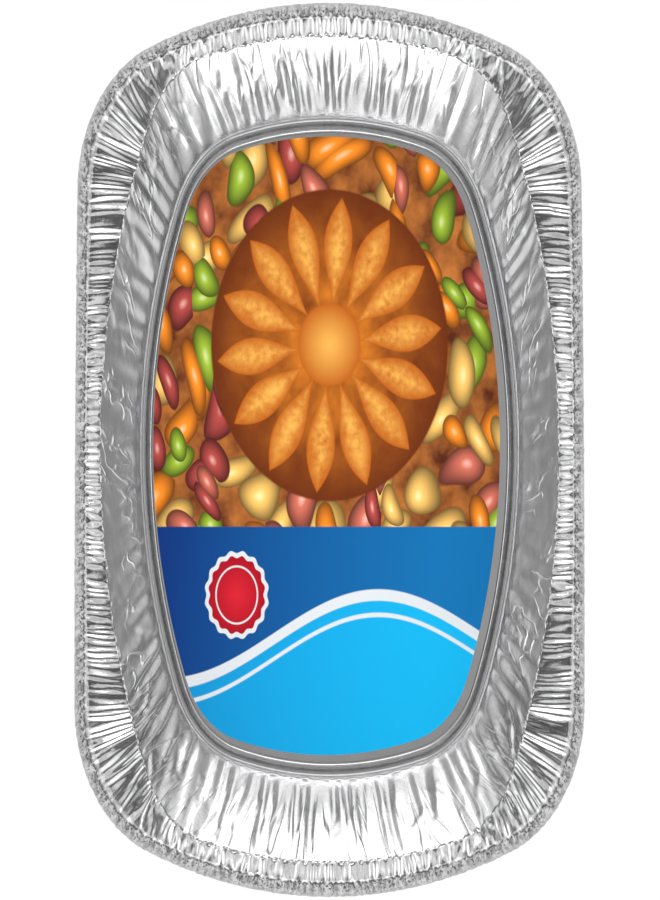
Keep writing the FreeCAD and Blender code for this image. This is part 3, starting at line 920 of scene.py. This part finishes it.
def makeCardMaterial():
    p = cardPrint
    material, tree, skin = newMaterial("printedStock")
    calc, ramp, noise, along = nodeTools(tree)
    source = addNode(tree, "ShaderNodeTexCoord").outputs["Object"]
    place = addNode(tree, "ShaderNodeVectorMath", {0: source, "Scale": 1000.0}, operation="SCALE").outputs[0]

    def polar(centre, halfSize):
        # distance from a centre, 1 at the half size, and the angle round it
        scaled = along("DIVIDE", along("SUBTRACT", place, (*centre, 0)), (*halfSize, 1e6))
        parts = addNode(tree, "ShaderNodeSeparateXYZ", {"Vector": scaled})
        away = addNode(tree, "ShaderNodeVectorMath", {0: scaled}, operation="LENGTH").outputs["Value"]
        return away, calc("ARCTAN2", parts.outputs["Y"], parts.outputs["X"])

    def rampColour(value, low, high, colours):
        return mixColour(tree, ramp(value, low, high), *colours)

    parts = addNode(tree, "ShaderNodeSeparateXYZ", {"Vector": place})
    x, y = parts.outputs["X"], parts.outputs["Y"]
    mottle = noise(place, 0.07, 4.0)

    # the warm field: ovals in two layers over a brown ground
    colour = rampColour(mottle, 0.3, 0.7, p["ground"])
    for turn, spacing in (p["lowerLayer"], p["upperLayer"]):
        ovals = addNode(tree, "ShaderNodeGroup", {"Place": place, "Turn": turn, "Spacing": spacing},
                        node_tree=scatter).outputs
        tints = addNode(tree, "ShaderNodeValToRGB", {"Fac": ovals["Kind"]})
        tints.color_ramp.interpolation = "CONSTANT"
        while len(tints.color_ramp.elements) < len(p["ovals"]):
            tints.color_ramp.elements.new(1.0)
        for k, tint in enumerate(p["ovals"]):
            tints.color_ramp.elements[k].position = k / len(p["ovals"])
            tints.color_ramp.elements[k].color = tint
        light = calc("MULTIPLY_ADD", ovals["Shade"], *p["ovalLight"])
        lit = addNode(tree, "ShaderNodeVectorMath", {0: tints.outputs[0], "Scale": light}, operation="SCALE")
        glint = calc("MULTIPLY", ramp(ovals["Shade"], 0.72, 1.0), 0.45)
        lit = mixColour(tree, glint, lit.outputs[0], p["glint"])
        colour = mixColour(tree, ovals["Mask"], colour, lit)

    # a plain golden rosette in its middle
    away, angle = polar(p["flowerCentre"], p["flowerHalfSize"])
    disc = mixColour(tree, calc("MULTIPLY", ramp(away, 1.0, 0.3), ramp(mottle, 0.2, 0.7)), *p["bronze"])
    colour = mixColour(tree, ramp(away, 1.0, 0.985), colour, disc)
    petal = calc("FRACT", calc("MULTIPLY_ADD", angle, p["petals"] / 2 / math.pi, 50.25))
    petal = calc("ABSOLUTE", calc("MULTIPLY_ADD", petal, 2.0, -1.0))
    plump = calc("SINE", calc("MULTIPLY", ramp(away, *p["petalReach"]), math.pi))
    inPetal = calc("SUBTRACT", calc("MULTIPLY", plump, p["petalWidth"]), petal)
    grain = noise(place, 0.3, 3.0)
    shade = calc("MULTIPLY", ramp(inPetal, 0.0, 0.75), ramp(calc("ADD", mottle, grain), 0.55, 1.2))
    colour = mixColour(tree, ramp(inPetal, 0.0, 0.06), colour, mixColour(tree, shade, *p["gold"]))
    middle = rampColour(away, p["middleRadius"], 0.0, p["gold"])
    colour = mixColour(tree, ramp(away, p["middleRadius"], p["middleRadius"] - 0.015), colour, middle)

    # the cool field, with two pale waves
    across = ramp(calc("MULTIPLY_ADD", y, -0.15, x), -95, 75)
    w = p["wave"]
    wave = calc("SINE", calc("MULTIPLY", calc("ADD", x, w["start"]), w["along"]))
    above = calc("ADD", calc("SUBTRACT", y, calc("MULTIPLY", wave, w["height"])), w["below"])
    cool = mixColour(tree, ramp(above, -1.0, 1.0), mixColour(tree, across, *p["cyan"]),
                     mixColour(tree, across, *p["blue"]))
    for offset, half in p["waveLines"]:
        offLine = calc("ABSOLUTE", calc("ADD", above, offset))
        cool = mixColour(tree, ramp(offLine, half + 0.3, half - 0.3), cool, p["pale"])
    colour = mixColour(tree, ramp(calc("SUBTRACT", y, p["fieldLine"]), 0.3, -0.3), colour, cool)

    # and a plain red rosette on it
    away, angle = polar(p["badgeCentre"], (p["badgeRadius"], p["badgeRadius"]))
    lobed = calc("MULTIPLY_ADD", calc("COSINE", calc("MULTIPLY", angle, p["badgeLobes"])), 0.035, away)
    colour = mixColour(tree, ramp(lobed, 1.13, 1.11), colour, p["pale"])
    colour = mixColour(tree, ramp(lobed, 1.0, 0.98), colour, rampColour(away, 1.0, 0.1, p["red"]))
    ring = calc("ABSOLUTE", calc("SUBTRACT", away, p["badgeRing"]))
    colour = mixColour(tree, ramp(ring, 0.035, 0.015), colour, p["pale"])

    # the stock's pale edge, below the printed face
    normal = addNode(tree, "ShaderNodeNewGeometry").outputs["True Normal"]
    facing = addNode(tree, "ShaderNodeSeparateXYZ", {"Vector": normal}).outputs["Z"]
    colour = mixColour(tree, ramp(facing, 0.6, 0.4), colour, p["edge"])
    # painted reflection: rays from shiny metal see the card as foil, darker towards its ends
    mirrored = addNode(tree, "ShaderNodeLightPath").outputs["Is Glossy Ray"]
    paintedReflection = rampColour(calc("ABSOLUTE", y), *p["paintedReflectionFade"], p["paintedReflectionTones"])
    rough = ramp(mirrored, 0.0, 1.0, ramp(mottle, 0.0, 1.0, *p["roughness"]), p["mirrorRoughness"])
    tooth = addNode(tree, "ShaderNodeBump",
                    {"Height": noise(place, 2.2, 1.0), "Strength": 0.15, "Distance": 0.00003})
    for name, value in (
        ("Base Color", mixColour(tree, mirrored, colour, paintedReflection)),
        ("Metallic", mirrored),
        ("Specular IOR Level", p["sheen"]),
        ("Roughness", rough),
        ("Normal", tooth.outputs[0]),
    ):
        setSocket(tree, skin.inputs[name], value)
    return material


printedCard = makeCard()
dress(printedCard, makeCardMaterial())
print("card printed")


# the studio: a pale floor, soft boxes off the ends and the sides, and a sky for the foil to mirror
studioSetup = {
    "floorSize": 30.0,
    "floorColour": (0.86, 0.86, 0.86, 1),
    "floorRoughness": 0.8,
    "floorGlow": 1.03,      # how bright the camera sees it
    "floorClean": 0.9,      # how much of the pan's shadow that hides
    # each box: place, tilt, power, width and height
    "boxes": {
        "farBox": ((0, 1.5, 1.0), (-56, 0, 0), 4.5, (1.1, 0.7)),
        "nearBox": ((0, -1.5, 1.0), (56, 0, 0), 4.5, (1.1, 0.7)),
        "leftBox": ((-1.5, 0, 1.2), (0, -50, 0), 1.0, (0.8, 1.6)),
        "rightBox": ((1.5, 0, 1.2), (0, 50, 0), 1.0, (0.8, 1.6)),
        "lowFarBox": ((0, 1.7, 0.6), (-70, 0, 0), 7.0, (3.4, 0.5)),
        "lowNearBox": ((0, -1.7, 0.6), (70, 0, 0), 7.0, (3.4, 0.5)),
        "lowLeftBox": ((-1.7, 0, 0.65), (0, -69, 0), 3.5, (0.5, 1.8)),
        "lowRightBox": ((1.7, 0, 0.65), (0, 69, 0), 3.5, (0.5, 1.8)),
    },
    # the sky that the foil mirrors, by height: dark right above, pale from half way down
    "skyByHeight": ((0.0, 0.75), (0.06, 0.3), (0.2, 0.12), (0.34, 0.8), (0.46, 1.3), (0.58, 1.1), (0.72, 1.0),
                    (0.84, 0.86), (0.90, 0.42), (0.93, 0.05), (0.98, 0.1), (0.993, 0.34), (1.0, 0.34)),
    # dark flags hung high in it, off the sides and off the ends: how dark, by distance across and along
    "sideFlag": (((0.0, 0.0), (0.46, 0.0), (0.54, 0.7), (0.74, 0.7), (0.84, 0.0), (1.0, 0.0)),
                 ((0.0, 1.0), (0.2, 1.0), (0.6, 0.0), (1.0, 0.0))),
    "sideFlagMiddle": 0.1,      # they hang a little towards the far end
    "endFlag": (((0.0, 0.0), (0.09, 0.0), (0.25, 0.58), (0.42, 0.45), (0.52, 0.0), (1.0, 0.0)),
                ((0.0, 0.0), (0.45, 0.0), (0.55, 1.0), (1.0, 1.0))),
    "flagHeight": ((0.0, 0.0), (0.54, 0.0), (0.66, 1.0), (1.0, 1.0)),
    "worldStrength": 1.0,
    "softLight": (1.25, 1.25, 1.25, 1),     # what falls on dull surfaces from all round
}


def addStudio():
    s = studioSetup
    bpy.ops.mesh.primitive_plane_add(size=s["floorSize"], location=(0, 0, -0.0002))
    floor = bpy.context.object
    floor.name = "studioFloor"
    material, tree, skin = newMaterial("paleFloor")
    skin.inputs["Base Color"].default_value = s["floorColour"]
    skin.inputs["Roughness"].default_value = s["floorRoughness"]
    path = addNode(tree, "ShaderNodeLightPath")
    glow = addNode(tree, "ShaderNodeEmission", {"Color": (1, 1, 1, 1), "Strength": s["floorGlow"]})
    share = addNode(tree, "ShaderNodeMath", {0: path.outputs["Is Camera Ray"], 1: s["floorClean"]},
                    operation="MULTIPLY")
    mixed = addNode(tree, "ShaderNodeMixShader",
                    {0: share.outputs[0], 1: skin.outputs[0], 2: glow.outputs[0]})
    tree.links.new(mixed.outputs[0], tree.nodes["Material Output"].inputs["Surface"])
    dress(floor, material)
    for name, (place, tilt, power, size) in s["boxes"].items():
        bpy.ops.object.light_add(type="AREA", location=place, rotation=[math.radians(a) for a in tilt])
        lamp = bpy.context.object
        lamp.name = name
        lamp.data.shape = "RECTANGLE"
        lamp.data.size, lamp.data.size_y = size
        lamp.data.energy = power
        lamp.visible_diffuse = False


def addWorld():
    s = studioSetup
    world = bpy.data.worlds.new("studioWorld")
    bpy.context.scene.world = world
    world.use_nodes = True
    tree = world.node_tree
    back = tree.nodes["Background"]
    calc, _, _, along = nodeTools(tree)
    towards = addNode(tree, "ShaderNodeTexCoord").outputs["Generated"]
    parts = addNode(tree, "ShaderNodeSeparateXYZ", {"Vector": towards})
    x, y, z = (parts.outputs[name] for name in "XYZ")

    def steps(value, points):
        # a grey that goes in straight lines through the given points
        node = addNode(tree, "ShaderNodeValToRGB", {"Fac": value})
        for index, (position, tone) in enumerate(points):
            if index > 1:
                node.color_ramp.elements.new(position)
            node.color_ramp.elements[index].position = position
            node.color_ramp.elements[index].color = (tone, tone, tone, 1)
        return node.outputs[0]

    def flag(across, howAcross, lengthways, howAlong):
        flat = along("MULTIPLY", steps(across, howAcross), steps(lengthways, howAlong))
        return along("MULTIPLY", flat, steps(z, s["flagHeight"]))

    across = calc("ABSOLUTE", x)
    fromFar = calc("ABSOLUTE", calc("SUBTRACT", y, s["sideFlagMiddle"]))
    sideFlag = flag(across, s["sideFlag"][0], fromFar, s["sideFlag"][1])
    endFlag = flag(across, s["endFlag"][0], calc("ABSOLUTE", y), s["endFlag"][1])
    shaded = mixColour(tree, sideFlag, steps(z, s["skyByHeight"]), (0, 0, 0, 1))
    shaded = mixColour(tree, endFlag, shaded, (0, 0, 0, 1))
    path = addNode(tree, "ShaderNodeLightPath")
    # dull surfaces get plain light, the camera sees white, and mirrors see the sky
    plain = mixColour(tree, path.outputs["Is Camera Ray"], s["softLight"], (1, 1, 1, 1))
    seen = mixColour(tree, path.outputs["Is Glossy Ray"], plain, shaded)
    tree.links.new(seen, back.inputs["Color"])
    back.inputs["Strength"].default_value = s["worldStrength"]


addStudio()
addWorld()
bpy.context.scene.view_settings.view_transform = "Standard"
print("studio lit")
